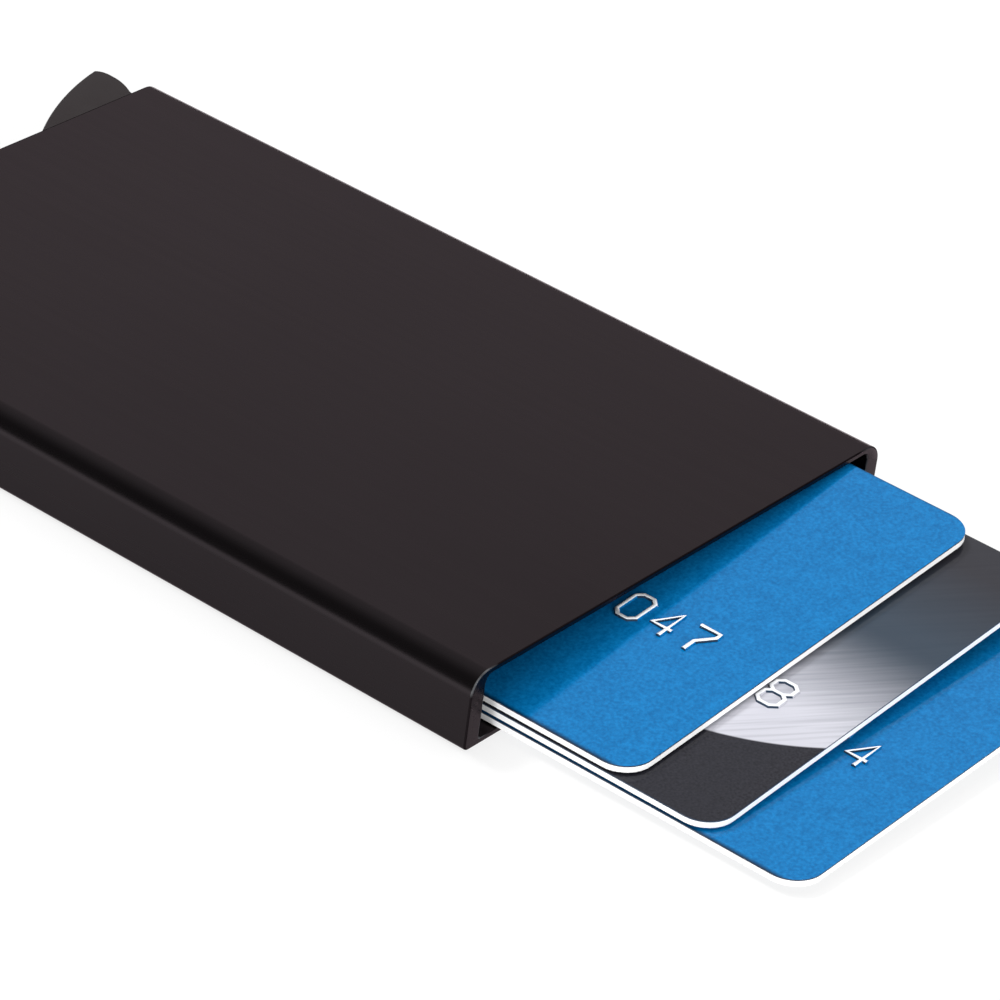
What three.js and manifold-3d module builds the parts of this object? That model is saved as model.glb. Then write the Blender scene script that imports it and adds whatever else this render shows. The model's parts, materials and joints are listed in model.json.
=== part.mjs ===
// Card protector: an extruded aluminium sleeve that holds bank cards, with a thumb trigger at one corner.
// Pressing the trigger turns a stepped lever, which slides the cards out of the mouth as a fan.
// Shown with the trigger pressed and three cards fanned. Millimetres, +Z up, mouth towards -Y.
// The origin is the middle of the sleeve's underside.
import * as THREE from 'three';
import { mergeVertices } from 'three/addons/utils/BufferGeometryUtils.js';
import Module from 'manifold-3d';

const wasm = await Module();
wasm.setup();

// Cards: the standard bank card format, and how far each one stands out of the mouth
const cardWidth = 53.98;
const cardLength = 85.6;
const cardThickness = 0.76;
const cardCornerRadius = 3.18;
const topCardReach = 15.05;
const middleCardReach = 24.45;
const bottomCardReach = 34.25;
const cardGap = 0.2;
const cardFloorGap = 0.15;
const cardRoofGap = 0.3;
// The loose pack leans: every card's +X edge lies higher, the top card's close under the roof
const middleLeanShare = 0.9;
const bottomLeanShare = 0.44;
const stowedInset = 1.6;

// Sleeve
const sideWall = 2;
const faceWall = 0.55;
const pocketHeight = 6.9;
const topEdgeRadius = 2.2;
const bottomEdgeRadius = 0.5;
const pocketTopRadius = 0.9;
const pocketBottomRadius = 0.4;
const endEdgeBreak = 0.15;

// Friction strips on the side walls
const backingThickness = 0.5;
const pileThickness = 1.61;
const glueFilm = 0.05;
const cardEdgeGap = 0.3;
const stripMouthInset = 8;
const stripRearInset = 4;
const stripEdgeMargin = 0.15;

// End base, which closes the sleeve and carries the pivot
const baseWall = 1.5;
const baseRecess = 0.3;
const baseFit = 0.1;
const padThickness = 0.9;
const padRadius = 4.4;

// Pivot rivet
const rivetRadius = 1;
const rivetHeadRadius = 2;
const rivetHeadHeight = 0.8;
const rivetHeadRoofGap = 0.4;
const rivetPressGap = 0.02;
const rivetRunningGap = 0.06;
const rivetHeadGap = 0.1;

// Lever: pivot place, arm and hub
const pivotSideInset = 5;
const pivotEndInset = 4.6;
const hubRadius = 2.6;
const armFrontOffset = 2.2;
const armRootRear = 2;
const armTipRear = 0.5;
const armRoofGap = 0.6;
const armFloorGap = 0.25;
const ejectLead = 2;
const tipInset = 0.8;
const stepGap = 0.2;
const leverPadGap = 0.15;
const headClearance = 0.4;

// Trigger outline: u runs from the +X side of the sleeve towards -X, v outwards from its end
const triggerRoofGap = 0.5;
const shoulderFoot = { u: 18.7, v: 0 };
const shoulderBulge = { u: 10.6, v: 5.7 };
const shoulderTop = { u: 2.2, v: 7.4 };
const peakControl = { u: 1.35, v: 6.75 };
const flankTop = { u: 1.5, v: 5.3 };
const flankControl = { u: 1.5, v: 3.6 };
const flankFoot = { u: 2.6, v: 1.7 };
const neckTop = { u: 3, v: 0.4 };
const webHeel = { u: 18.2, v: -1.2 };
const slotMargin = 0.6;
const notchMargin = 0.6;

const curveSteps = 8;
const roundSteps = 36;

// Derived sizes of the sleeve and its pocket
const pocketWidth = cardWidth + 2 * (cardEdgeGap + pileThickness + glueFilm + backingThickness + glueFilm);
const caseWidth = pocketWidth + 2 * sideWall;
const caseHeight = pocketHeight + 2 * faceWall;
const caseLength = stowedInset + cardLength + ejectLead + armFrontOffset + pivotEndInset;
const mouthY = -caseLength / 2;
const endY = caseLength / 2;
const floorZ = faceWall;
const roofZ = faceWall + pocketHeight;
const pivot = new THREE.Vector2(caseWidth / 2 - pivotSideInset, endY - pivotEndInset);
const sillZ = floorZ + baseFit + padThickness;

// Lean and height of each card, from the underside of its low -X edge
const cardLeftX = -cardWidth / 2;
const cardPitch = cardThickness + cardGap;
const cardPackHeight = cardFloorGap + 3 * cardThickness + 2 * cardGap;
const topCardLift = pocketHeight - cardPackHeight - cardRoofGap;
const bottomCardLow = floorZ + cardFloorGap;
const cards = {
  bottom: { reach: bottomCardReach, low: bottomCardLow, lift: topCardLift * bottomLeanShare },
  middle: { reach: middleCardReach, low: bottomCardLow + cardPitch, lift: topCardLift * middleLeanShare },
  top: { reach: topCardReach, low: bottomCardLow + 2 * cardPitch, lift: topCardLift },
};
const undersideAt = (card, x) => card.low + card.lift * (x - cardLeftX) / cardWidth;
const travelOf = (card) => card.reach + stowedInset;

// The arm's tip reaches just short of the far edge of the cards. The swing that moves the bottom card
// through its travel follows from that, and each shorter step's radius follows from the swing.
const tipRadius = pivot.x - cardLeftX - tipInset;
const tipDistance = Math.hypot(tipRadius, armFrontOffset);
const swing = Math.asin((travelOf(cards.bottom) + armFrontOffset) / tipDistance)
  - Math.atan2(armFrontOffset, tipRadius);
const stepRadius = (card) => (travelOf(card) + armFrontOffset * (1 - Math.cos(swing))) / Math.sin(swing);

// The notch in the side wall starts a margin ahead of where the swung trigger's neck meets the wall,
// at the height of the trigger's top, where the pocket's round corner stands in furthest
const cornerReach = Math.sqrt(pocketTopRadius ** 2 - (pocketTopRadius - triggerRoofGap) ** 2);
const notchWallX = pivotSideInset - sideWall - pocketTopRadius + cornerReach;
const neckX = pivotSideInset - neckTop.u;
const neckMeetsWallY = (notchWallX * Math.cos(swing) - neckX) / Math.sin(swing);
const sideNotchDepth = pivotEndInset - neckMeetsWallY + notchMargin;

// Solids from geometry and back, with cuts and joins between them
function solidOf(geometry) {
  const bare = geometry.clone();
  bare.deleteAttribute('normal');
  bare.deleteAttribute('uv');
  const merged = mergeVertices(bare, 1e-4);
  return new wasm.Manifold(new wasm.Mesh({
    numProp: 3,
    vertProperties: new Float32Array(merged.attributes.position.array),
    triVerts: new Uint32Array(merged.index.array),
  }));
}

function geometryOf(solid) {
  const mesh = solid.getMesh();
  const geometry = new THREE.BufferGeometry();
  geometry.setAttribute('position', new THREE.BufferAttribute(new Float32Array(mesh.vertProperties), 3));
  geometry.setIndex(new THREE.BufferAttribute(new Uint32Array(mesh.triVerts), 1));
  geometry.computeVertexNormals();
  return geometry;
}

function extrudedUp(shape, lowZ, highZ) {
  const geometry = new THREE.ExtrudeGeometry(shape, {
    depth: highZ - lowZ,
    bevelEnabled: false,
    curveSegments: curveSteps,
  });
  return geometry.translate(0, 0, lowZ);
}

// A section drawn in X and Z, run along Y, with both end edges broken by the given amount
function extrudedAlongY(section, lowY, highY, edgeBreak = 0) {
  const geometry = new THREE.ExtrudeGeometry(section, {
    depth: highY - lowY - 2 * edgeBreak,
    bevelEnabled: edgeBreak > 0,
    bevelThickness: edgeBreak,
    bevelSize: edgeBreak,
    bevelOffset: -edgeBreak,
    bevelSegments: 2,
    curveSegments: curveSteps,
  });
  return geometry.rotateX(Math.PI / 2).translate(0, highY - edgeBreak, 0);
}

function cylinderUp(radius, lowZ, highZ, x = 0, y = 0) {
  const height = highZ - lowZ;
  const geometry = new THREE.CylinderGeometry(radius, radius, height, roundSteps);
  return geometry.rotateX(Math.PI / 2).translate(x, y, lowZ + height / 2);
}

function boxBetween(low, high) {
  const size = new THREE.Vector3().subVectors(high, low);
  const middle = new THREE.Vector3().addVectors(low, high).multiplyScalar(0.5);
  return new THREE.BoxGeometry(size.x, size.y, size.z).translate(middle.x, middle.y, middle.z);
}

// An upright rectangle in X and Z, centred on X, with its upper and lower corners rounded apart
function roundedSection(width, lowZ, highZ, lowerRadius, upperRadius) {
  const half = width / 2;
  const shape = new THREE.Shape();
  shape.moveTo(-half + lowerRadius, lowZ);
  shape.lineTo(half - lowerRadius, lowZ);
  shape.absarc(half - lowerRadius, lowZ + lowerRadius, lowerRadius, -Math.PI / 2, 0, false);
  shape.lineTo(half, highZ - upperRadius);
  shape.absarc(half - upperRadius, highZ - upperRadius, upperRadius, 0, Math.PI / 2, false);
  shape.lineTo(-half + upperRadius, highZ);
  shape.absarc(-half + upperRadius, highZ - upperRadius, upperRadius, Math.PI / 2, Math.PI, false);
  shape.lineTo(-half, lowZ + lowerRadius);
  shape.absarc(-half + lowerRadius, lowZ + lowerRadius, lowerRadius, Math.PI, Math.PI * 1.5, false);
  return shape;
}

function pocketSection(inset) {
  const width = pocketWidth - 2 * inset;
  return roundedSection(width, floorZ + inset, roofZ - inset, pocketBottomRadius, pocketTopRadius);
}

// Sleeve: an extruded tube, with a notch beside the end that lets the trigger swing past the corner
function caseShell() {
  const overrun = 1;
  const tube = solidOf(extrudedAlongY(
    roundedSection(caseWidth, 0, caseHeight, bottomEdgeRadius, topEdgeRadius), mouthY, endY, endEdgeBreak));
  const pocket = solidOf(extrudedAlongY(pocketSection(0), mouthY - overrun, endY + overrun));
  const notch = solidOf(boxBetween(
    new THREE.Vector3(caseWidth / 2 - sideWall - pocketTopRadius, endY - sideNotchDepth, sillZ),
    new THREE.Vector3(caseWidth / 2 + overrun, endY + overrun, roofZ)));
  return geometryOf(tube.subtract(pocket).subtract(notch));
}

// End base: an end wall with the trigger's slot over a low sill, and a pad for the pivot behind it
function endBase() {
  const wallHighY = endY - baseRecess;
  const section = pocketSection(baseFit);
  const wall = solidOf(extrudedAlongY(section, wallHighY - baseWall, wallHighY));
  const slot = solidOf(boxBetween(
    new THREE.Vector3(caseWidth / 2 - shoulderFoot.u - slotMargin, wallHighY - 2 * baseWall, sillZ),
    new THREE.Vector3(caseWidth / 2, endY, caseHeight)));
  const padLowY = pivot.y - padRadius;
  const pad = solidOf(cylinderUp(padRadius, 0, sillZ, pivot.x, pivot.y))
    .add(solidOf(boxBetween(
      new THREE.Vector3(pivot.x - padRadius, pivot.y, 0),
      new THREE.Vector3(caseWidth / 2, wallHighY - baseWall / 2, sillZ))))
    .intersect(solidOf(extrudedAlongY(section, padLowY - baseWall, wallHighY)));
  const rivetHole = solidOf(cylinderUp(rivetRadius + rivetPressGap, 0, roofZ, pivot.x, pivot.y));
  return geometryOf(wall.subtract(slot).add(pad).subtract(rivetHole));
}

// Pivot rivet: its shank is pressed into the pad, and its head keeps the lever down
const rivetHeadHighZ = roofZ - rivetHeadRoofGap;
const rivetHeadLowZ = rivetHeadHighZ - rivetHeadHeight;
const hubHighZ = rivetHeadLowZ - rivetHeadGap;
const leverLowZ = sillZ + leverPadGap;

function pivotRivet() {
  const lowZ = floorZ + baseFit;
  const dome = rivetHeadHeight / 2;
  const profile = [
    new THREE.Vector2(0, lowZ),
    new THREE.Vector2(rivetRadius, lowZ),
    new THREE.Vector2(rivetRadius, rivetHeadLowZ),
    new THREE.Vector2(rivetHeadRadius, rivetHeadLowZ),
    new THREE.Vector2(rivetHeadRadius, rivetHeadHighZ - dome),
    new THREE.Vector2(rivetHeadRadius - dome, rivetHeadHighZ),
    new THREE.Vector2(0, rivetHeadHighZ),
  ];
  return new THREE.LatheGeometry(profile, roundSteps).rotateX(Math.PI / 2);
}

// Lever, drawn about its pivot as pressed: trigger, hub, and an arm in three steps, one for each card
function triggerShape() {
  const at = (point) => [pivotSideInset - point.u, pivotEndInset + point.v];
  const neck = at(neckTop);
  const shape = new THREE.Shape();
  shape.moveTo(...at(shoulderFoot));
  shape.lineTo(...at(webHeel));
  shape.lineTo(-hubRadius / 2, -hubRadius / 2);
  shape.lineTo(neck[0], 0);
  shape.lineTo(...neck);
  shape.lineTo(...at(flankFoot));
  shape.quadraticCurveTo(...at(flankControl), ...at(flankTop));
  shape.quadraticCurveTo(...at(peakControl), ...at(shoulderTop));
  shape.quadraticCurveTo(...at(shoulderBulge), ...at(shoulderFoot));
  return shape;
}

// Plan of the arm between two radii, along -X: a flat pushing face, and a back that tapers to the tip
function armShape(innerRadius, outerRadius) {
  const backAt = (radius) => armRootRear - (armRootRear - armTipRear) * radius / tipRadius;
  const shape = new THREE.Shape();
  shape.moveTo(-innerRadius, -armFrontOffset);
  shape.lineTo(-innerRadius, backAt(innerRadius));
  shape.lineTo(-outerRadius, backAt(outerRadius));
  shape.lineTo(-outerRadius, -armFrontOffset);
  shape.closePath();
  return shape;
}

function ejectorLever() {
  const keelRadius = padRadius + headClearance;
  const keelLowZ = floorZ + armFloorGap;
  const armHighZ = roofZ - armRoofGap;
  const topRadius = stepRadius(cards.top);
  const middleRadius = stepRadius(cards.middle);
  const middleStepZ = undersideAt(cards.top, pivot.x - middleRadius) - stepGap;
  const bottomStepZ = cards.middle.low - stepGap;
  const arm = solidOf(extrudedUp(armShape(0, topRadius), leverLowZ, armHighZ))
    .add(solidOf(extrudedUp(armShape(keelRadius, topRadius), keelLowZ, armHighZ)))
    .add(solidOf(extrudedUp(armShape(keelRadius, middleRadius), keelLowZ, middleStepZ)))
    .add(solidOf(extrudedUp(armShape(keelRadius, tipRadius), keelLowZ, bottomStepZ)))
    .rotate([0, 0, THREE.MathUtils.radToDeg(swing)]);
  const hub = solidOf(cylinderUp(hubRadius, leverLowZ, hubHighZ));
  const trigger = solidOf(extrudedUp(triggerShape(), leverLowZ, roofZ - triggerRoofGap));
  const headRoom = solidOf(cylinderUp(rivetHeadRadius + headClearance, hubHighZ, roofZ));
  const bore = solidOf(cylinderUp(rivetRadius + rivetRunningGap, 0, roofZ));
  return geometryOf(arm.add(hub).add(trigger).subtract(headRoom).subtract(bore));
}

// Friction strips: a backing glued to each side wall, and a short pile that grips the cards' edges
const stripLow = new THREE.Vector2(mouthY + stripMouthInset, floorZ + pocketBottomRadius + stripEdgeMargin);
const stripHigh = new THREE.Vector2(
  mouthY + stowedInset + cardLength - stripRearInset, roofZ - pocketTopRadius - stripEdgeMargin);

function stripLayer(side, wallGap, thickness) {
  const outer = side * (pocketWidth / 2 - wallGap);
  const inner = outer - side * thickness;
  return boxBetween(
    new THREE.Vector3(Math.min(outer, inner), stripLow.x, stripLow.y),
    new THREE.Vector3(Math.max(outer, inner), stripHigh.x, stripHigh.y));
}

// Card: a thin slab with rounded corners, drawn from the low edge of its front end
function cardSlab() {
  const radius = cardCornerRadius;
  const shape = new THREE.Shape();
  shape.moveTo(radius, 0);
  shape.lineTo(cardWidth - radius, 0);
  shape.absarc(cardWidth - radius, radius, radius, -Math.PI / 2, 0, false);
  shape.lineTo(cardWidth, cardLength - radius);
  shape.absarc(cardWidth - radius, cardLength - radius, radius, 0, Math.PI / 2, false);
  shape.lineTo(radius, cardLength);
  shape.absarc(radius, cardLength - radius, radius, Math.PI / 2, Math.PI, false);
  shape.lineTo(0, radius);
  shape.absarc(radius, radius, radius, Math.PI, Math.PI * 1.5, false);
  return extrudedUp(shape, 0, cardThickness);
}

const finishes = {
  anodised: { color: 0x38302f, roughness: 0.45, metalness: 0.8 },
  moulded: { color: 0x2a2a29, roughness: 0.6, metalness: 0 },
  steel: { color: 0x9a9c9e, roughness: 0.3, metalness: 1 },
  backing: { color: 0x1d1d1f, roughness: 0.7, metalness: 0 },
  pile: { color: 0x17171a, roughness: 0.95, metalness: 0 },
  blueCard: { color: 0x2f86cf, roughness: 0.35, metalness: 0 },
  charcoalCard: { color: 0x47474d, roughness: 0.35, metalness: 0 },
};

const cardProtector = new THREE.Group();

function piece(name, geometry, finish) {
  const mesh = new THREE.Mesh(geometry, new THREE.MeshStandardMaterial(finishes[finish]));
  mesh.name = name;
  return mesh;
}

function atPivot(mesh) {
  mesh.position.set(pivot.x, pivot.y, mesh.position.z);
  return mesh;
}

cardProtector.add(piece('case_shell', caseShell(), 'anodised'));
cardProtector.add(piece('end_base', endBase(), 'moulded'));
cardProtector.add(atPivot(piece('pivot_rivet', pivotRivet(), 'steel')));
cardProtector.add(atPivot(piece('ejector_lever', ejectorLever(), 'moulded')));

for (const [sideName, side] of [['left', -1], ['right', 1]]) {
  const backing = stripLayer(side, glueFilm, backingThickness);
  const pile = stripLayer(side, glueFilm + backingThickness + glueFilm, pileThickness);
  cardProtector.add(piece(`${sideName}_strip_backing`, backing, 'backing'));
  cardProtector.add(piece(`${sideName}_strip_pile`, pile, 'pile'));
}

for (const [level, finish] of [['top', 'blueCard'], ['middle', 'charcoalCard'], ['bottom', 'blueCard']]) {
  const card = cards[level];
  const mesh = piece(`card_${level}`, cardSlab(), finish);
  mesh.position.set(cardLeftX, mouthY - card.reach, card.low);
  mesh.rotation.y = -Math.asin(card.lift / cardWidth);
  cardProtector.add(mesh);
}

export default cardProtector;
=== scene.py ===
import json
import math

import bmesh
import bpy
from mathutils import Matrix, Vector


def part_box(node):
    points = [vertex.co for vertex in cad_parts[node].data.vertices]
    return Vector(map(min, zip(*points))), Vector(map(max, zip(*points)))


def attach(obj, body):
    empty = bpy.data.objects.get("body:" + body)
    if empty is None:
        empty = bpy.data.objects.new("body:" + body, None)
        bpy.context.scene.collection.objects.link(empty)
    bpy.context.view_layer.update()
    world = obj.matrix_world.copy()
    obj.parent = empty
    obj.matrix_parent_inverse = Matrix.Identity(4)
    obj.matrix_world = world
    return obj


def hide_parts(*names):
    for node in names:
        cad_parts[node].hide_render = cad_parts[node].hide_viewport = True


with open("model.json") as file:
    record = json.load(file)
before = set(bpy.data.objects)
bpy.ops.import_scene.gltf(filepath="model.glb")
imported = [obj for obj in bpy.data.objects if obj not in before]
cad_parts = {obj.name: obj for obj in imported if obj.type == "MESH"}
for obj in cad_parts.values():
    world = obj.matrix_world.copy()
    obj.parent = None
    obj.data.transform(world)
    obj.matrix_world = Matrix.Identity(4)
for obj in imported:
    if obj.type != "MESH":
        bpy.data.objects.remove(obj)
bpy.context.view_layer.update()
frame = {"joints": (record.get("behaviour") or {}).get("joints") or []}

# Sleeve: the body of the holder, a thin aluminium tube pressed through a die and sawn to length. The cut
# ends are broken with a file, and a notch is milled beside the end for the trigger to swing through.
# It is then blasted and anodised brownish black.
mm = 0.001
# A hair's breadth, within which a place is found and by which two faces are kept apart
hair = 0.01 * mm
# Shares of a normal or an edge along an axis, from which a face is square to it or an edge runs straight
square_on = 0.9
straight_on = 0.99
side_wall = 2 * mm
face_wall = 0.55 * mm
top_edge_radius = 2.2 * mm
bottom_edge_radius = 0.5 * mm
pocket_top_radius = 0.9 * mm
pocket_bottom_radius = 0.4 * mm
outer_edge_break = 0.15 * mm
inner_edge_break = 0.15 * mm
notch_depth = 5.06 * mm
notch_corner_radius = 0.4 * mm
rubbed_and_highlight_width = 1.6 * mm
pad_thickness = 0.9 * mm
round_segments = 10
small_round_segments = 4
edge_break_segments = 3

sleeve_low, sleeve_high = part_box("case_shell")
sleeve_axis = (sleeve_low + sleeve_high) / 2
sleeve_length = sleeve_high.y - sleeve_low.y
floor_z = sleeve_low.z + face_wall
roof_z = sleeve_high.z - face_wall
base_low, base_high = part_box("end_base")
pad_top_z = base_low.z + pad_thickness


def block_size(low, high):
    """The place and scale that make a unit cube span two corners."""
    return {"size": 1, "location": (Vector(low) + Vector(high)) / 2, "scale": Vector(high) - Vector(low)}


def start(name, add_primitive, **sizes):
    """Adds a primitive as a new object, with its place in its mesh, and goes into edit mode on it."""
    bpy.ops.object.select_all(action="DESELECT")
    add_primitive(**sizes)
    bpy.ops.object.transform_apply(location=True, rotation=True, scale=True)
    piece = bpy.context.object
    piece.name = name
    piece.data.name = name
    bpy.ops.object.mode_set(mode="EDIT")
    bpy.ops.mesh.select_mode(type="VERT")
    bpy.ops.mesh.select_all(action="SELECT")
    return piece


def pick(kind, test):
    """In edit mode, selects only the shown vertices, edges or faces that pass the test."""
    bpy.ops.mesh.select_mode(type=kind)
    bpy.ops.mesh.select_all(action="DESELECT")
    mesh = bpy.context.edit_object.data
    shape = bmesh.from_edit_mesh(mesh)
    for part in {"VERT": shape.verts, "EDGE": shape.edges, "FACE": shape.faces}[kind]:
        if not part.hide and test(part):
            part.select_set(True)
    bmesh.update_edit_mesh(mesh)


def middle_of(edge):
    """The point halfway along an edge."""
    return (edge.verts[0].co + edge.verts[1].co) / 2


def runs_along(axis):
    """A test for edges that lie along one axis, 0 to 2 for X to Z."""
    def test(edge):
        run = edge.verts[0].co - edge.verts[1].co
        return abs(run[axis]) > straight_on * run.length
    return test


def round_long_edges(middle_z, upper_radius, lower_radius):
    """Rounds the long edges of the shown block, by one radius at its top and another at its bottom."""
    along_y = runs_along(1)
    for is_upper, radius, segments in (
        (True, upper_radius, round_segments), (False, lower_radius, small_round_segments)
    ):
        low_side = min(v.co.z for v in bmesh.from_edit_mesh(bpy.context.edit_object.data).verts if not v.hide)
        pick("EDGE", lambda edge: along_y(edge) and (
            middle_of(edge).z > middle_z if is_upper else middle_of(edge).z < low_side + hair))
        bpy.ops.mesh.bevel(offset=radius, segments=segments, affect="EDGES", clamp_overlap=False)


def take_up(piece):
    """Selects one piece alone, for the operators that follow."""
    bpy.ops.object.select_all(action="DESELECT")
    piece.select_set(True)
    bpy.context.view_layer.objects.active = piece


def cut(piece, tool, operation="DIFFERENCE"):
    """Cuts a piece by a tool, or joins the tool to it, and removes the tool."""
    modifier = piece.modifiers.new("cut", "BOOLEAN")
    modifier.operation = operation
    modifier.object = tool
    modifier.solver = "EXACT"
    take_up(piece)
    bpy.ops.object.modifier_apply(modifier=modifier.name)
    bpy.data.objects.remove(tool)


def smooth(piece, angle=35):
    """Shades a piece smooth up to an angle in degrees, and keeps its flat faces flat beside their rounds."""
    take_up(piece)
    bpy.ops.object.shade_smooth_by_angle(angle=math.radians(angle))
    modifier = piece.modifiers.new("flat faces", "WEIGHTED_NORMAL")
    modifier.keep_sharp = True
    bpy.ops.object.modifier_apply(modifier=modifier.name)


pocket_low = Vector((sleeve_low.x + side_wall, sleeve_low.y, floor_z))
pocket_high = Vector((sleeve_high.x - side_wall, sleeve_high.y, roof_z))
sleeve = start("sleeve", bpy.ops.mesh.primitive_cube_add, **block_size(sleeve_low, sleeve_high))
round_long_edges(sleeve_axis.z, top_edge_radius, bottom_edge_radius)
pick("FACE", lambda face: abs(face.normal.y) > square_on)
bpy.ops.mesh.delete(type="FACE")
bpy.ops.mesh.select_all(action="SELECT")
bpy.ops.mesh.hide(unselected=False)
bpy.ops.mesh.primitive_cube_add(**block_size(pocket_low, pocket_high))
round_long_edges(sleeve_axis.z, pocket_top_radius, pocket_bottom_radius)
pick("FACE", lambda face: abs(face.normal.y) > square_on)
bpy.ops.mesh.delete(type="FACE")
bpy.ops.mesh.select_all(action="SELECT")
bpy.ops.mesh.flip_normals()
bpy.ops.mesh.reveal(select=False)
for end_y in (sleeve_low.y, sleeve_high.y):
    pick("EDGE", lambda edge: all(abs(v.co.y - end_y) < hair for v in edge.verts))
    bpy.ops.mesh.bridge_edge_loops()
bpy.ops.mesh.select_all(action="SELECT")
bpy.ops.mesh.normals_make_consistent(inside=False)


def end_edge(faces_out):
    """A test for the edges round the tube's two ends, on its outside or on its pocket."""
    def test(edge):
        at_end = abs(abs(middle_of(edge).y - sleeve_axis.y) - sleeve_length / 2) < hair
        across = abs(edge.verts[0].co.y - edge.verts[1].co.y) < hair
        walls = [f for f in edge.link_faces if abs(f.normal.y) < square_on]
        return at_end and across and any(
            (f.normal.dot(f.calc_center_median() - sleeve_axis) > 0) == faces_out for f in walls)
    return test


pick("EDGE", end_edge(faces_out=True))
bpy.ops.mesh.bevel(
    offset=outer_edge_break, segments=edge_break_segments, affect="EDGES", clamp_overlap=False)
pick("EDGE", end_edge(faces_out=False))
bpy.ops.mesh.bevel(
    offset=inner_edge_break, segments=edge_break_segments, affect="EDGES", clamp_overlap=False)
bpy.ops.object.mode_set(mode="OBJECT")

notch = start("notch", bpy.ops.mesh.primitive_cube_add, **block_size(
    (pocket_high.x - pocket_top_radius, sleeve_high.y - notch_depth, pad_top_z),
    (sleeve_high.x + side_wall, sleeve_high.y + side_wall, roof_z)))
pick("EDGE", lambda edge: runs_along(0)(edge) and middle_of(edge).y < sleeve_high.y)
bpy.ops.mesh.bevel(offset=notch_corner_radius, segments=small_round_segments, affect="EDGES")
bpy.ops.object.mode_set(mode="OBJECT")
cut(sleeve, notch)
smooth(sleeve)


def colour(hex_code):
    """An sRGB hex colour as the linear values that the nodes take."""
    parts = [int(hex_code[i:i + 2], 16) / 255 for i in (1, 3, 5)]
    return [p / 12.92 if p <= 0.04045 else ((p + 0.055) / 1.055) ** 2.4 for p in parts] + [1]


def per_size(millimetres):
    """The texture scale that makes a pattern's features about this large."""
    return 1 / (millimetres * mm)


def node(tree, kind, inputs=None, **settings):
    """Adds a node with its settings, sets its input values and links those that come from other nodes."""
    made = tree.nodes.new("ShaderNode" + kind)
    for name, value in settings.items():
        setattr(made, name, value)
    for name, value in (inputs or {}).items():
        if isinstance(value, bpy.types.NodeSocket):
            tree.links.new(value, made.inputs[name])
        else:
            made.inputs[name].default_value = value
    return made


def finish_material(name, build):
    """A new material whose node tree is made by build, which returns its shader."""
    material = bpy.data.materials.new(name)
    material.use_nodes = True
    tree = material.node_tree
    tree.nodes.clear()
    shader = build(tree)
    node(tree, "OutputMaterial", {"Surface": shader.outputs["BSDF"]})
    return material


def anodised_aluminium(tree):
    """Blasted and dyed: a satin metal, brownish black, with a fine even grit and faint lines from the die."""
    place = node(tree, "TexCoord").outputs["Object"]
    # Blasting grit is under 0.1 mm, too fine to show here, so it is drawn at 0.28 mm
    grit = node(tree, "TexNoise", {"Vector": place, "Scale": per_size(0.28), "Detail": 2.0})
    clouds = node(tree, "TexNoise", {"Vector": place, "Scale": per_size(24), "Detail": 3.0})
    stretched = node(tree, "Mapping", {"Vector": place, "Scale": (1, 0.01, 1)})
    die_lines = node(tree, "TexNoise", {
        "Vector": stretched.outputs["Vector"], "Scale": per_size(0.7), "Detail": 1.0})
    tone = node(tree, "Mix", {
        0: clouds.outputs["Fac"], 6: colour("#282426"), 7: colour("#2c282a")}, data_type="RGBA")
    satin = node(tree, "MapRange", {"Value": die_lines.outputs["Fac"], "To Min": 0.25, "To Max": 0.31})
    relief = node(tree, "Bump", {"Height": grit.outputs["Fac"], "Strength": 0.1, "Distance": 0.02 * mm})
    return node(tree, "BsdfPrincipled", {
        "Base Color": tone.outputs[2], "Metallic": 1.0, "Specular Tint": colour("#e7dee1"),
        "Roughness": satin.outputs["Result"], "Normal": relief.outputs["Normal"]})


def worn_edge_and_highlight(tree):
    """The filed edge of the ends: dyed like the rest, pale metal at the pocket's walls and the shoulders,
    partly worn by cards and partly a painted highlight.
    """
    place = node(tree, "TexCoord").outputs["Object"]
    axes = node(tree, "SeparateXYZ", {"Vector": place})
    reach = node(tree, "Math", {0: axes.outputs["X"]}, operation="ABSOLUTE")
    # Pale metal at the pocket's walls and at the shoulders, partly wear from cards and partly a painted
    # highlight
    walls = node(tree, "MapRange", {
        "Value": reach.outputs["Value"], "From Min": pocket_high.x - rubbed_and_highlight_width,
        "From Max": pocket_high.x})
    inner = node(tree, "Math", {
        0: reach.outputs["Value"], 1: pocket_high.x + side_wall / 2}, operation="LESS_THAN")
    shoulders = node(tree, "MapRange", {
        "Value": axes.outputs["Z"], "From Min": sleeve_high.z - top_edge_radius,
        "From Max": sleeve_high.z - top_edge_radius / 2})
    rubbed_and_highlit = node(tree, "Math", {
        0: inner.outputs["Value"], 1: shoulders.outputs["Result"]}, operation="MAXIMUM")
    # Painted highlight: the pale share is whole on the -X side and falls to 0.3 at the +X wall
    side = node(tree, "MapRange", {
        "Value": axes.outputs["X"], "From Min": 0.0, "From Max": pocket_high.x, "To Min": 1.0, "To Max": 0.3})
    grit = node(tree, "TexNoise", {"Vector": place, "Scale": per_size(1.5), "Detail": 2.0})
    share = grit.outputs["Fac"]
    for part in (walls.outputs["Result"], rubbed_and_highlit.outputs["Value"], side.outputs["Result"]):
        share = node(tree, "Math", {0: share, 1: part}, operation="MULTIPLY").outputs["Value"]
    tone = node(tree, "Mix", {0: share, 6: colour("#1f1b1d"), 7: colour("#8d8f92")}, data_type="RGBA")
    return node(tree, "BsdfPrincipled", {
        "Base Color": tone.outputs[2], "Metallic": 1.0, "Roughness": 0.3, "Specular Tint": colour("#8a8487")})


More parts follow.
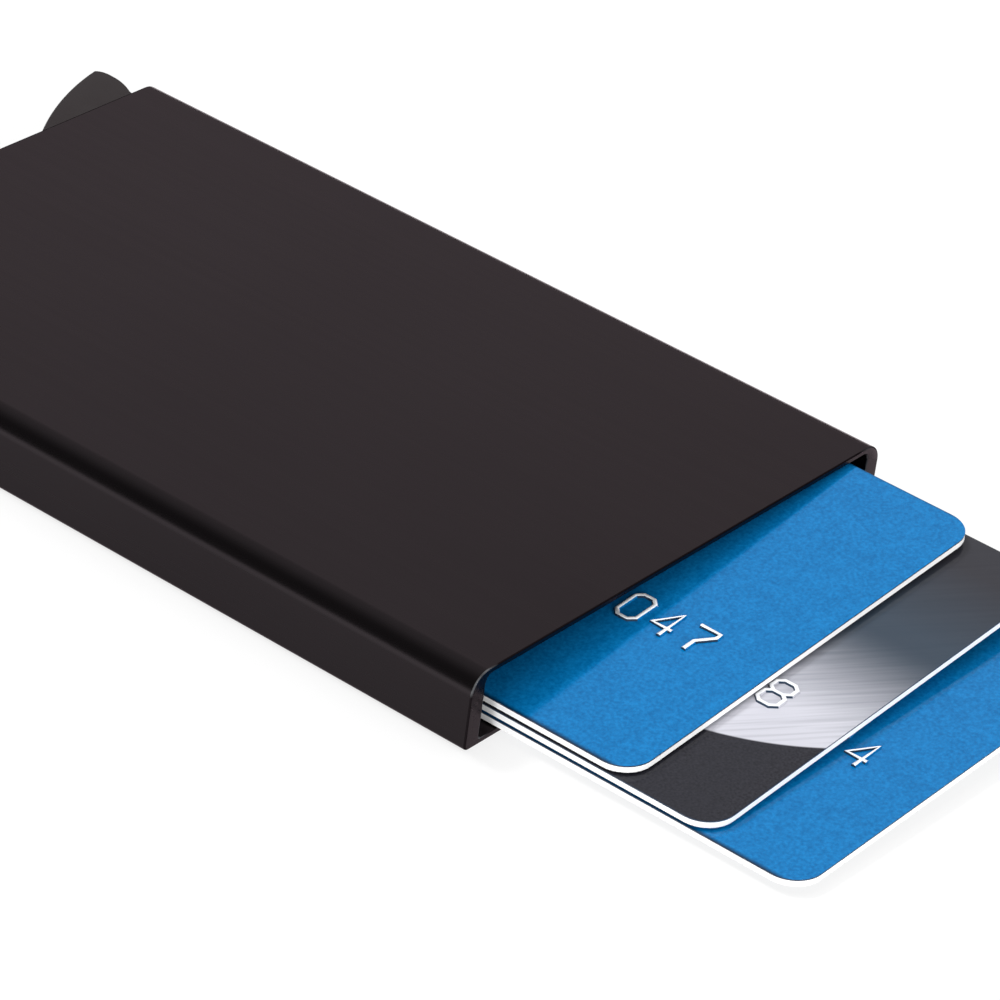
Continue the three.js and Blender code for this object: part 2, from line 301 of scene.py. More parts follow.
# The second finish, on the filed end edges, carries wear and a painted highlight
sleeve.data.materials.append(finish_material("anodised aluminium", anodised_aluminium))
sleeve.data.materials.append(finish_material("worn anodised edge and painted highlight", worn_edge_and_highlight))
for face in sleeve.data.polygons:
    from_end = sleeve_length / 2 - abs(face.center.y - sleeve_axis.y)
    is_slanted = 0.05 < abs(face.normal.y) < straight_on
    face.material_index = 1 if is_slanted and from_end < outer_edge_break else 0
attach(sleeve, "case")
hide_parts("case_shell")

# End base: a moulded black insert pushed into the end of the sleeve. Its wall closes the end, and drops to a
# low sill under the slot that the trigger comes out of. Its round pad carries the pivot.
base_wall = 1.5 * mm
base_edge_round = 0.12 * mm
slot_margin = 0.6 * mm
shoulder_inset = 18.7 * mm
pad_radius = 4.4 * mm
pad_arc_steps = 24
rim_segments = 4
lever_joint = next(joint for joint in frame["joints"] if joint["name"] == "lever_swing")
pivot = Vector(lever_joint["pos_m"])


def outline_block(name, corners, pull):
    """Draws a closed outline from corner to corner, fills it and pulls it out to a block."""
    piece = start(name, bpy.ops.mesh.primitive_plane_add, size=mm)
    bpy.ops.mesh.merge(type="CENTER")
    bpy.ops.transform.translate(value=corners[0])
    for last, corner in zip(corners, corners[1:] + corners[:1]):
        bpy.ops.mesh.extrude_region_move(TRANSFORM_OT_translate={"value": corner - last})
    bpy.ops.mesh.select_all(action="SELECT")
    bpy.ops.mesh.remove_doubles(threshold=hair / 10)
    bpy.ops.mesh.edge_face_add()
    bpy.ops.mesh.extrude_region_move(TRANSFORM_OT_translate={"value": pull})
    bpy.ops.mesh.select_all(action="SELECT")
    bpy.ops.mesh.normals_make_consistent(inside=False)
    return piece


def round_rims(axis, radius):
    """In edit mode, rounds every edge of the faces that look along one axis, 0 to 2 for X to Z."""
    pick("EDGE", lambda edge: any(abs(f.normal[axis]) > square_on for f in edge.link_faces))
    bpy.ops.mesh.bevel(offset=radius, segments=rim_segments, affect="EDGES", clamp_overlap=False)
    bpy.ops.object.mode_set(mode="OBJECT")


end_base = start("moulded_end", bpy.ops.mesh.primitive_cube_add, **block_size(
    (base_low.x, base_high.y - base_wall, base_low.z), base_high))
round_long_edges(sleeve_axis.z, pocket_top_radius, pocket_bottom_radius)
round_rims(1, base_edge_round)

trigger_slot = start("trigger_slot", bpy.ops.mesh.primitive_cube_add, **block_size(
    (sleeve_high.x - shoulder_inset - slot_margin, base_high.y - 2 * base_wall, pad_top_z),
    (sleeve_high.x, sleeve_high.y, sleeve_high.z)))
bpy.ops.object.mode_set(mode="OBJECT")
cut(end_base, trigger_slot)

# The pad's round front stops at the wall of the sleeve
pad_side = base_high.x - pivot.x - hair
pad_turn = math.pi - math.acos(pad_side / pad_radius)
pad_angles = [math.pi + pad_turn * k / pad_arc_steps for k in range(pad_arc_steps + 1)]
pad_rear_y = base_high.y - base_wall / 2
pad_low_z = base_low.z + hair
pivot_pad = outline_block("pivot_pad", [
    Vector((pivot.x - pad_radius, pad_rear_y, pad_low_z)),
    *[Vector((pivot.x + pad_radius * math.cos(a), pivot.y + pad_radius * math.sin(a), pad_low_z))
      for a in pad_angles],
    Vector((pivot.x + pad_side, pad_rear_y, pad_low_z)),
], (0, 0, pad_top_z - hair - pad_low_z))
round_rims(2, base_edge_round)
cut(end_base, pivot_pad, "UNION")
smooth(end_base)


def moulded_nylon(tree):
    """Glass-filled nylon from a spark-eroded mould: matt black, with a fine leathery grain."""
    place = node(tree, "TexCoord").outputs["Object"]
    # The grain is under 0.1 mm, too fine to show here, so it is drawn at 0.3 mm
    grain = node(tree, "TexNoise", {"Vector": place, "Scale": per_size(0.3), "Detail": 3.0})
    flow = node(tree, "TexNoise", {"Vector": place, "Scale": per_size(9), "Detail": 2.0})
    tone = node(tree, "Mix", {
        0: flow.outputs["Fac"], 6: colour("#1c1b1c"), 7: colour("#242324")}, data_type="RGBA")
    matt = node(tree, "MapRange", {"Value": grain.outputs["Fac"], "To Min": 0.5, "To Max": 0.68})
    relief = node(tree, "Bump", {"Height": grain.outputs["Fac"], "Strength": 0.25, "Distance": 0.03 * mm})
    return node(tree, "BsdfPrincipled", {
        "Base Color": tone.outputs[2], "Roughness": matt.outputs["Result"],
        "Normal": relief.outputs["Normal"], "IOR": 1.53})


end_base.data.materials.append(finish_material("moulded nylon", moulded_nylon))
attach(end_base, "case")
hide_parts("end_base")

# Pivot rivet: a steel pin, turned on a lathe and pressed into the pad. The lever turns on its shank, and its
# flat domed head keeps the lever down.
rivet_head_height = 0.8 * mm
rivet_radius = 1 * mm
rivet_sides = 48
dome_segments = 6
rivet_low, rivet_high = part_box("pivot_rivet")
rivet_head_z = rivet_high.z - rivet_head_height
rivet_head_radius = (rivet_high.x - rivet_low.x) / 2

rivet = start(
    "turned_rivet", bpy.ops.mesh.primitive_cylinder_add, vertices=rivet_sides, radius=rivet_radius,
    depth=rivet_head_z - rivet_low.z, location=(pivot.x, pivot.y, (rivet_head_z + rivet_low.z) / 2))
pick("FACE", lambda face: face.normal.z > square_on)
bpy.ops.mesh.extrude_region_move()
bpy.ops.transform.resize(
    value=(rivet_head_radius / rivet_radius, rivet_head_radius / rivet_radius, 1),
    center_override=(pivot.x, pivot.y, rivet_head_z))
bpy.ops.mesh.extrude_region_move(TRANSFORM_OT_translate={"value": (0, 0, rivet_head_height)})
pick("FACE", lambda face: face.normal.z > square_on and face.calc_center_median().z > rivet_head_z + hair)
bpy.ops.mesh.bevel(offset=rivet_head_height / 2, segments=dome_segments, affect="EDGES")
bpy.ops.object.mode_set(mode="OBJECT")
smooth(rivet)


def per_wave(millimetres):
    """The wave texture's scale for bands this far apart: it turns through 20 radians in one unit."""
    return 2 * math.pi / (20 * millimetres * mm)


def turned_steel(tree):
    """Turned on a lathe: bright steel with fine rings round the pin's axis."""
    place = node(tree, "TexCoord").outputs["Object"]
    centred = node(tree, "Mapping", {"Vector": place, "Location": (-pivot.x, -pivot.y, 0)})
    # The turning marks are under 0.1 mm, too fine to show here, so they are drawn 0.25 mm apart
    rings = node(tree, "TexWave", {
        "Vector": centred.outputs["Vector"], "Scale": per_wave(0.25), "Distortion": 0.4,
    }, wave_type="RINGS", rings_direction="Z")
    sheen = node(tree, "MapRange", {"Value": rings.outputs["Fac"], "To Min": 0.22, "To Max": 0.36})
    relief = node(tree, "Bump", {"Height": rings.outputs["Fac"], "Strength": 0.1, "Distance": 0.01 * mm})
    return node(tree, "BsdfPrincipled", {
        "Base Color": colour("#a9abae"), "Metallic": 1.0,
        "Roughness": sheen.outputs["Result"], "Normal": relief.outputs["Normal"]})


rivet.data.materials.append(finish_material("turned steel", turned_steel))
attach(rivet, "case")
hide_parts("pivot_rivet")

# Lever: one moulding of dark grey ABS that turns on the rivet. Outside the end it is the curved trigger
# for the thumb, and inside it is an arm in three steps, one behind each card.
pad_gap = 0.15 * mm
hub_step = 0.06 * mm
root_step = 0.03 * mm
head_gap = 0.1 * mm
bore_gap = 0.06 * mm
head_room = 0.4 * mm
roof_gap = 0.6 * mm
keel_gap = 0.4 * mm
step_gap = 0.2 * mm
hub_radius = 2.6 * mm
trigger_edge_round = 0.25 * mm
arm_edge_round = 0.2 * mm
arm_edge_segments = 3
sharp_angle = math.radians(60)
arm_front = 2.2 * mm
arm_root_back = 2 * mm
arm_tip_back = 0.5 * mm
tip_radius = 52.69 * mm
middle_step_radius = 38.53 * mm
top_step_radius = 24.95 * mm
card_thickness = 0.76 * mm
lever_low, lever_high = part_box("ejector_lever")
trigger_low_z = pad_top_z + pad_gap
hub_low_z = trigger_low_z + hub_step
hub_high_z = rivet_head_z - head_gap
bore_radius = rivet_radius + bore_gap
head_room_radius = rivet_head_radius + head_room
arm_high_z = roof_z - roof_gap
arm_root_z = trigger_low_z + root_step
keel_radius = pad_radius + keel_gap
top_card_low, top_card_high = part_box("card_top")
top_card_slope = (top_card_high.z - top_card_low.z - card_thickness) / (top_card_high.x - top_card_low.x)
middle_step_x = pivot.x - middle_step_radius - top_card_low.x
middle_step_z = top_card_low.z + middle_step_x * top_card_slope - step_gap
bottom_step_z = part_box("card_middle")[0].z - step_gap
arm_swing = math.radians(43.789)
curve_steps = 14


def quadratic(first, control, last):
    """Points along a quadratic curve after its first point."""
    shares = [k / curve_steps for k in range(1, curve_steps + 1)]
    return [first * (1 - t) ** 2 + control * 2 * t * (1 - t) + last * t * t for t in shares]


def from_corner(inset, out):
    """A point at the trigger's low side, by its distance in from the +X side and out from the end."""
    return Vector((sleeve_high.x - inset, sleeve_high.y + out, trigger_low_z))


shoulder_foot = from_corner(shoulder_inset, 0)
shoulder_bulge = from_corner(10.6 * mm, 5.7 * mm)
shoulder_top = from_corner(2.2 * mm, 7.4 * mm)
peak_bulge = from_corner(1.35 * mm, 6.75 * mm)
flank_top = from_corner(1.5 * mm, 5.3 * mm)
flank_hollow = from_corner(1.5 * mm, 3.6 * mm)
flank_foot = from_corner(2.6 * mm, 1.7 * mm)
neck_top = from_corner(3 * mm, 0.4 * mm)
neck_foot = Vector((neck_top.x, pivot.y, trigger_low_z))
inner_heel = from_corner(18.2 * mm, -1.2 * mm)
hub_heel = Vector((pivot.x - hub_radius / 2, pivot.y - hub_radius / 2, trigger_low_z))
lever = outline_block("trigger_lever", [
    inner_heel, hub_heel, neck_foot, neck_top, flank_foot,
    *quadratic(flank_foot, flank_hollow, flank_top),
    *quadratic(flank_top, peak_bulge, shoulder_top),
    *quadratic(shoulder_top, shoulder_bulge, shoulder_foot),
], (0, 0, lever_high.z - trigger_low_z))
round_rims(2, trigger_edge_round)

# The arm is drawn from its side about the pivot, along -X, planed to its taper and turned to its place
arm_profile = [
    (0, arm_root_z), (keel_radius, arm_root_z), (keel_radius, lever_low.z), (tip_radius, lever_low.z),
    (tip_radius, bottom_step_z), (middle_step_radius, bottom_step_z), (middle_step_radius, middle_step_z),
    (top_step_radius, middle_step_z), (top_step_radius, arm_high_z), (0, arm_high_z),
]
arm_corners = [Vector((-radius, -arm_front, z)) for radius, z in arm_profile]
arm = outline_block("arm", arm_corners, (0, arm_front + 2 * arm_root_back, 0))
bpy.ops.mesh.bisect(
    plane_co=(0, arm_root_back, 0), plane_no=(arm_tip_back - arm_root_back, tip_radius, 0),
    use_fill=True, clear_outer=True)
pick("EDGE", lambda edge: edge.calc_face_angle() > sharp_angle)
bpy.ops.mesh.bevel(offset=arm_edge_round, segments=arm_edge_segments, affect="EDGES", clamp_overlap=False)
bpy.ops.object.mode_set(mode="OBJECT")
arm.location = (pivot.x, pivot.y, 0)
arm.rotation_euler.z = arm_swing
bpy.ops.object.transform_apply(location=True, rotation=True, scale=True)
cut(lever, arm, "UNION")


def upright(name, radius, low_z, high_z):
    """A cylinder about the pivot, to join to the lever or to cut from it."""
    piece = start(
        name, bpy.ops.mesh.primitive_cylinder_add, vertices=rivet_sides, radius=radius, depth=high_z - low_z,
        location=(pivot.x, pivot.y, (low_z + high_z) / 2))
    bpy.ops.object.mode_set(mode="OBJECT")
    return piece


cut(lever, upright("hub", hub_radius, hub_low_z, hub_high_z), "UNION")
cut(lever, upright("head_room", head_room_radius, hub_high_z, roof_z))
cut(lever, upright("bore", bore_radius, sleeve_low.z, roof_z))
smooth(lever)


def moulded_abs(tree):
    """ABS from a lightly textured mould: dark grey, a soft satin that is a little polished by thumbs."""
    place = node(tree, "TexCoord").outputs["Object"]
    # The mould's texture is under 0.1 mm, too fine to show here, so it is drawn at 0.25 mm
    grain = node(tree, "TexNoise", {"Vector": place, "Scale": per_size(0.25), "Detail": 2.0})
    polish = node(tree, "TexNoise", {"Vector": place, "Scale": per_size(4), "Detail": 2.0})
    tone = node(tree, "Mix", {
        0: polish.outputs["Fac"], 6: colour("#171213"), 7: colour("#1c1617")}, data_type="RGBA")
    satin = node(tree, "MapRange", {"Value": polish.outputs["Fac"], "To Min": 0.36, "To Max": 0.5})
    relief = node(tree, "Bump", {"Height": grain.outputs["Fac"], "Strength": 0.18, "Distance": 0.02 * mm})
    return node(tree, "BsdfPrincipled", {
        "Base Color": tone.outputs[2], "Roughness": satin.outputs["Result"],
        "Normal": relief.outputs["Normal"], "IOR": 1.54, "Specular IOR Level": 0.22,
        "Specular Tint": colour("#e8cfd5")})


lever.data.materials.append(finish_material("moulded ABS", moulded_abs))
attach(lever, "lever")
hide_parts("ejector_lever")

# Friction strips: along each side wall a glued polyester backing carries a short dense nylon pile, woven
# in tufts. The tufts bend against the cards' edges and hold the cards in the sleeve.
tuft_pitch = 0.52 * mm
tuft_foot_radius = 0.24 * mm
tuft_tip_radius = 0.09 * mm
tuft_lean = 0.16 * mm
tuft_scatter = 0.12 * mm
tuft_sides = 5
tuft_seed = 11
backing_edge_round = 0.1 * mm
fine_segments = 2


def woven_backing(tree):
    """Heat-set polyester tape: matt black, with a fine square weave."""
    place = node(tree, "TexCoord").outputs["Object"]
    warp = node(tree, "TexWave", {"Vector": place, "Scale": per_wave(0.4)}, bands_direction="Y")
    weft = node(tree, "TexWave", {"Vector": place, "Scale": per_wave(0.4)}, bands_direction="Z")
    weave = node(tree, "Math", {0: warp.outputs["Fac"], 1: weft.outputs["Fac"]}, operation="MULTIPLY")
    tone = node(tree, "Mix", {
        0: weave.outputs["Value"], 6: colour("#141416"), 7: colour("#222226")}, data_type="RGBA")
    relief = node(tree, "Bump", {"Height": weave.outputs["Value"], "Strength": 0.4, "Distance": 0.05 * mm})
    return node(tree, "BsdfPrincipled", {
        "Base Color": tone.outputs[2], "Roughness": 0.75, "Normal": relief.outputs["Normal"]})


def nylon_pile(tree):
    """Cut nylon yarn: near black, each tuft a little lighter or darker, with a soft sheen on its fibres."""
    place = node(tree, "TexCoord").outputs["Object"]
    tufts = node(tree, "TexNoise", {"Vector": place, "Scale": per_size(0.5), "Detail": 2.0})
    tone = node(tree, "Mix", {
        0: tufts.outputs["Fac"], 6: colour("#0f0f11"), 7: colour("#2a2a2e")}, data_type="RGBA")
    return node(tree, "BsdfPrincipled", {
        "Base Color": tone.outputs[2], "Roughness": 0.8, "Sheen Weight": 0.25, "Sheen Roughness": 0.4})


def repeat(piece, count, step):
    """Copies a piece along a step with an applied array."""
    modifier = piece.modifiers.new("row", "ARRAY")
    modifier.count = count
    modifier.use_relative_offset = False
    modifier.use_constant_offset = True
    modifier.constant_offset_displace = step
    bpy.ops.object.modifier_apply(modifier=modifier.name)


def copy_of(model, name):
    """A copy of a modelled piece, with a mesh of its own."""
    piece = model.copy()
    piece.data = model.data.copy()
    piece.name = name
    piece.data.name = name
    bpy.context.scene.collection.objects.link(piece)
    return piece


backing_low, backing_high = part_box("left_strip_backing")
tape = start("tape", bpy.ops.mesh.primitive_cube_add, **block_size(backing_low, backing_high))
bpy.ops.mesh.bevel(offset=backing_edge_round, segments=fine_segments, affect="EDGES")
bpy.ops.object.mode_set(mode="OBJECT")
tape.data.materials.append(finish_material("woven polyester tape", woven_backing))

pile_low, pile_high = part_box("left_strip_pile")
pile_depth = pile_high.x - pile_low.x
tuft_rows = int((pile_high.z - pile_low.z) / tuft_pitch)
tuft_columns = int((pile_high.y - pile_low.y) / tuft_pitch) - 1
first_tuft = Vector((
    pile_low.x + pile_depth / 2,
    pile_low.y + tuft_pitch / 2 + tuft_lean,
    pile_low.z + tuft_pitch / 2 + tuft_scatter / 2))
pile = start(
    "pile", bpy.ops.mesh.primitive_cone_add, vertices=tuft_sides, radius1=tuft_foot_radius,
    radius2=tuft_tip_radius, depth=pile_depth - tuft_scatter, location=first_tuft,
    rotation=(0, math.pi / 2, 0))
pick("FACE", lambda face: face.normal.x > square_on)
bpy.ops.transform.translate(value=(0, tuft_lean, 0))
bpy.ops.mesh.extrude_region_move()
bpy.ops.transform.translate(value=(tuft_scatter / 4, tuft_lean / 2, 0))
bpy.ops.object.mode_set(mode="OBJECT")
repeat(pile, tuft_columns, (0, tuft_pitch, 0))
repeat(pile, tuft_rows, (0, 0, tuft_pitch))
bpy.ops.object.mode_set(mode="EDIT")
pick("VERT", lambda vert: vert.co.x > first_tuft.x)
bpy.ops.transform.vertex_random(offset=tuft_scatter / 2, seed=tuft_seed)
bpy.ops.object.mode_set(mode="OBJECT")
pile.data.materials.append(finish_material("cut nylon pile", nylon_pile))

# The left wall's strip is modelled, and the right wall's is its mirror image
for layer, model, smooth_angle in (("backing", tape, 35), ("pile", pile, 60)):
    for side_name, side in (("left", 1), ("right", -1)):
        strip = copy_of(model, side_name + "_" + model.name)
        take_up(strip)
        bpy.ops.object.mode_set(mode="EDIT")
        bpy.ops.mesh.select_all(action="SELECT")
        bpy.ops.transform.resize(value=(side, 1, 1), center_override=(0, 0, 0))
        bpy.ops.mesh.normals_make_consistent(inside=False)
        bpy.ops.object.mode_set(mode="OBJECT")
        smooth(strip, smooth_angle)
        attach(strip, "case")
        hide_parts(side_name + "_strip_" + layer)
    bpy.data.objects.remove(model)

# Cards: three bank cards, each pressed from printed PVC sheets round a white core and die-cut with round
# corners. The number is embossed from below and its tops are tipped with silver foil.
card_width = 53.98 * mm
card_length = 85.6 * mm
card_corner_radius = 3.18 * mm
card_corner_segments = 12
card_edge_round = 0.04 * mm
sheet_thickness = 0.14 * mm
digit_height = 4.1 * mm
digit_width = 2.3 * mm
digit_pitch = 3.63 * mm
digit_row = 18.2 * mm
digit_front_margin = 6.9 * mm
digit_stroke = 0.29 * mm
digit_relief = 0.28 * mm
edge_shade_width = 0.5 * mm
disc_centre = (10.7 * mm, -53.8 * mm, 0)
disc_radius = 28 * mm
disc_edge_blur = 0.1 * mm
stripe_inset = 4 * mm
stripe_width = 12.7 * mm


def pvc_core(tree):
    """The cut edge of the white PVC core: plain white, and dull from the die."""
    place = node(tree, "TexCoord").outputs["Object"]
    drag = node(tree, "TexNoise", {"Vector": place, "Scale": per_size(0.8), "Detail": 2.0})
    tone = node(tree, "Mix", {
        0: drag.outputs["Fac"], 6: colour("#f1f1f2"), 7: colour("#fbfbfa")}, data_type="RGBA")
    return node(tree, "BsdfPrincipled", {"Base Color": tone.outputs[2], "Roughness": 0.5})


def blue_print(tree):
    """Printed PVC under a gloss overlay: bright blue, finely mottled, with painted shade along its long
    edges.
    """
    place = node(tree, "TexCoord").outputs["Object"]
    specks = node(tree, "TexNoise", {
        "Vector": place, "Scale": per_size(0.38), "Detail": 2.0, "Roughness": 0.6})
    patches = node(tree, "TexNoise", {"Vector": place, "Scale": per_size(2), "Detail": 2.0})
    both = node(tree, "Math", {
        0: patches.outputs["Fac"], 1: 0.3, 2: specks.outputs["Fac"]}, operation="MULTIPLY_ADD")
    mottle = node(tree, "MapRange", {"Value": both.outputs["Value"], "From Min": 0.45, "From Max": 0.85})
    tone = node(tree, "Mix", {
        0: mottle.outputs["Result"], 6: colour("#00609b"), 7: colour("#0c77b7")}, data_type="RGBA")
    across = node(tree, "SeparateXYZ", {"Vector": place}).outputs["X"]
    reach = node(tree, "Math", {0: across}, operation="ABSOLUTE")
    # Painted shade: the blue darkens most of the way to navy over the last half millimetre at both long edges
    edge_shade = node(tree, "MapRange", {
        "Value": reach.outputs["Value"], "From Min": card_width / 2 - edge_shade_width, "From Max": card_width / 2,
        "To Max": 0.9})
    edged = node(tree, "Mix", {
        0: edge_shade.outputs["Result"], 6: tone.outputs[2], 7: colour("#04182c")}, data_type="RGBA")
    return node(tree, "BsdfPrincipled", {
        "Base Color": edged.outputs[2], "Roughness": 0.12, "IOR": 1.5, "Specular IOR Level": 0.15})


def charcoal_print(tree):
    """Printed PVC under a gloss overlay: charcoal with a fine grain, and a disc of brushed silver ink whose
    bright end is partly a painted highlight.
    """
    place = node(tree, "TexCoord").outputs["Object"]
    grain = node(tree, "TexNoise", {"Vector": place, "Scale": per_size(0.25), "Detail": 2.0})
    dark = node(tree, "Mix", {
        0: grain.outputs["Fac"], 6: colour("#121217"), 7: colour("#34343c")}, data_type="RGBA")
    turned = node(tree, "Mapping", {"Vector": place, "Rotation": (0, 0, math.radians(40))})
    drawn = node(tree, "Mapping", {"Vector": turned.outputs["Vector"], "Scale": (0.03, 1, 0)})
    strokes = node(tree, "TexNoise", {
        "Vector": drawn.outputs["Vector"], "Scale": per_size(0.45), "Detail": 3.0})
    streaks = node(tree, "MapRange", {
        "Value": strokes.outputs["Fac"], "From Min": 0.3, "From Max": 0.7, "To Min": 0.82, "To Max": 1.12})
    across = node(tree, "SeparateXYZ", {"Vector": place})
    # The silver ink fades to slate towards +X; its bright -X end is partly print and partly a painted
    # highlight
    silver_fade_and_highlight = node(tree, "MapRange", {
        "Value": across.outputs["X"], "From Min": -10 * mm, "From Max": 8 * mm, "To Min": 1.0,
        "To Max": 0.03}, interpolation_type="SMOOTHSTEP")
    shine = node(tree, "Math", {
        0: silver_fade_and_highlight.outputs["Result"], 1: streaks.outputs["Result"]}, operation="MULTIPLY", use_clamp=True)
    far_end = node(tree, "MapRange", {
        "Value": across.outputs["X"], "From Min": 10 * mm, "From Max": 22 * mm})
    slate = node(tree, "Mix", {
        0: far_end.outputs["Result"], 6: colour("#2a3846"), 7: colour("#212128")}, data_type="RGBA")
    silver = node(tree, "Mix", {
        0: shine.outputs["Value"], 6: slate.outputs[2], 7: colour("#c4c4cd")}, data_type="RGBA")
    from_centre = node(tree, "VectorMath", {0: place, 1: disc_centre}, operation="SUBTRACT")
    flat = node(tree, "VectorMath", {0: from_centre.outputs["Vector"], 1: (1, 1, 0)}, operation="MULTIPLY")
    reach = node(tree, "VectorMath", {0: flat.outputs["Vector"]}, operation="LENGTH")
    field = node(tree, "MapRange", {
        "Value": reach.outputs["Value"], "From Min": disc_radius - disc_edge_blur,
        "From Max": disc_radius + disc_edge_blur})
    tone = node(tree, "Mix", {
        0: field.outputs["Result"], 6: silver.outputs[2], 7: dark.outputs[2]}, data_type="RGBA")
    return node(tree, "BsdfPrincipled", {
        "Base Color": tone.outputs[2], "Roughness": 0.14, "IOR": 1.5, "Specular IOR Level": 0.15})


def cut_print_and_shade(tree):
    """The cut edge of the printed sheets on the core: a thin dark line, dull from the die, darker than the
    print as painted shade between the stacked cards.
    """
    place = node(tree, "TexCoord").outputs["Object"]
    drag = node(tree, "TexNoise", {"Vector": place, "Scale": per_size(0.8), "Detail": 2.0})
    tone = node(tree, "Mix", {
        0: drag.outputs["Fac"], 6: colour("#14283c"), 7: colour("#1c344c")}, data_type="RGBA")
    return node(tree, "BsdfPrincipled", {"Base Color": tone.outputs[2], "Roughness": 0.5})


def card_back(tree):
    """The back of a card: pale grey print, with the black magnetic stripe along one long side."""
    place = node(tree, "TexCoord").outputs["Object"]
    across = node(tree, "SeparateXYZ", {"Vector": place}).outputs["X"]
    middle = card_width / 2 - stripe_inset - stripe_width / 2
    offset = node(tree, "Math", {0: across, 1: middle}, operation="SUBTRACT")
    distance = node(tree, "Math", {0: offset.outputs["Value"]}, operation="ABSOLUTE")
    stripe = node(tree, "Math", {0: distance.outputs["Value"], 1: stripe_width / 2}, operation="LESS_THAN")
    grain = node(tree, "TexNoise", {"Vector": place, "Scale": per_size(0.5), "Detail": 2.0})
    paper = node(tree, "Mix", {
        0: grain.outputs["Fac"], 6: colour("#c3c8ce"), 7: colour("#d3d7db")}, data_type="RGBA")
    tone = node(tree, "Mix", {
        0: stripe.outputs["Value"], 6: paper.outputs[2], 7: colour("#1d1a19")}, data_type="RGBA")
    return node(tree, "BsdfPrincipled", {"Base Color": tone.outputs[2], "Roughness": 0.35, "IOR": 1.53})


def tipping_foil(tree):
    """Hot-pressed silver foil on the tops of the digits: pale, soft metal, slightly worn."""
    place = node(tree, "TexCoord").outputs["Object"]
    wear = node(tree, "TexNoise", {"Vector": place, "Scale": per_size(0.4), "Detail": 2.0})
    dull = node(tree, "MapRange", {"Value": wear.outputs["Fac"], "To Min": 0.3, "To Max": 0.5})
    tone = node(tree, "Mix", {
        0: wear.outputs["Fac"], 6: colour("#dfe3e8"), 7: colour("#ffffff")}, data_type="RGBA")
    return node(tree, "BsdfPrincipled", {
        "Base Color": tone.outputs[2], "Metallic": 0.1, "Roughness": dull.outputs["Result"]})


core_finish = finish_material("PVC core", pvc_core)
seam_and_shade_finish = finish_material("cut printed sheets and painted shade", cut_print_and_shade)
back_finish = finish_material("printed card back", card_back)
foil_finish = finish_material("silver tipping foil", tipping_foil)
blue_finish = finish_material("blue printed PVC", blue_print)
charcoal_finish = finish_material("charcoal printed PVC", charcoal_print)

# Strokes of the digits, by points on a grid of this width and height
grid_width = 2
grid_height = 4
digit_strokes = {
    "0": [[(0.5, 0), (1.5, 0), (2, 0.6), (2, 3.4), (1.5, 4), (0.5, 4), (0, 3.4), (0, 0.6), (0.5, 0)]],
    "4": [[(1.5, 0), (1.5, 4), (0, 1.3), (2, 1.3)]],
    "7": [[(0, 4), (2, 4), (2, 3.3), (0.9, 1.6), (0.9, 0)]],
    "8": [[(0.5, 2.1), (0, 2.6), (0, 3.5), (0.5, 4), (1.5, 4), (2, 3.5), (2, 2.6), (1.5, 2.1), (0.5, 2.1),
           (0, 1.6), (0, 0.5), (0.5, 0), (1.5, 0), (2, 0.5), (2, 1.6), (1.5, 2.1)]],
}


def embossed_number(name, digits):
    """A row of raised digits on a flat card at the origin, read from its far end towards its front end."""
    curve = bpy.data.curves.new(name, "CURVE")
    curve.dimensions = "3D"
    curve.bevel_depth = digit_stroke
    curve.bevel_resolution = 2
    curve.use_fill_caps = True
    for place, digit in enumerate(reversed(digits)):
        right_y = digit_front_margin + place * digit_pitch
        for stroke in digit_strokes.get(digit, []):
            spline = curve.splines.new("POLY")
            closed = stroke[0] == stroke[-1]
            points = stroke[:-1] if closed else stroke
            spline.points.add(len(points) - 1)
            spline.use_cyclic_u = closed
            for point, (across, up) in zip(spline.points, points):
                point.co = (
                    digit_row + up / grid_height * digit_height,
                    right_y + (1 - across / grid_width) * digit_width,
                    card_thickness, 1)
    row = bpy.data.objects.new(name, curve)
    bpy.context.scene.collection.objects.link(row)
    take_up(row)
    bpy.ops.object.convert(target="MESH")
    row = bpy.context.object
    bpy.ops.object.mode_set(mode="EDIT")
    bpy.ops.mesh.select_all(action="SELECT")
    bpy.ops.mesh.remove_doubles(threshold=hair / 10)
    bpy.ops.mesh.normals_make_consistent(inside=False)
    bpy.ops.transform.resize(
        value=(1, 1, digit_relief / digit_stroke), center_override=(0, 0, card_thickness))
    bpy.ops.object.mode_set(mode="OBJECT")
    return row


def lay(piece, lean, place):
    """Leans a flat piece about the card's low edge and moves it to its place, both in its mesh."""
    piece.data.transform(Matrix.Translation(place) @ Matrix.Rotation(-lean, 4, "Y"))


blank = start("card_blank", bpy.ops.mesh.primitive_cube_add, **block_size(
    (0, 0, 0), (card_width, card_length, card_thickness)))
pick("EDGE", runs_along(2))
bpy.ops.mesh.bevel(offset=card_corner_radius, segments=card_corner_segments, affect="EDGES")
pick("EDGE", lambda edge: edge.calc_face_angle() > sharp_angle)
bpy.ops.mesh.bevel(offset=card_edge_round, segments=fine_segments, affect="EDGES")
bpy.ops.mesh.select_all(action="SELECT")
bpy.ops.mesh.bisect(plane_co=(0, 0, card_thickness - sheet_thickness), plane_no=(0, 0, 1))
bpy.ops.object.mode_set(mode="OBJECT")
smooth(blank)

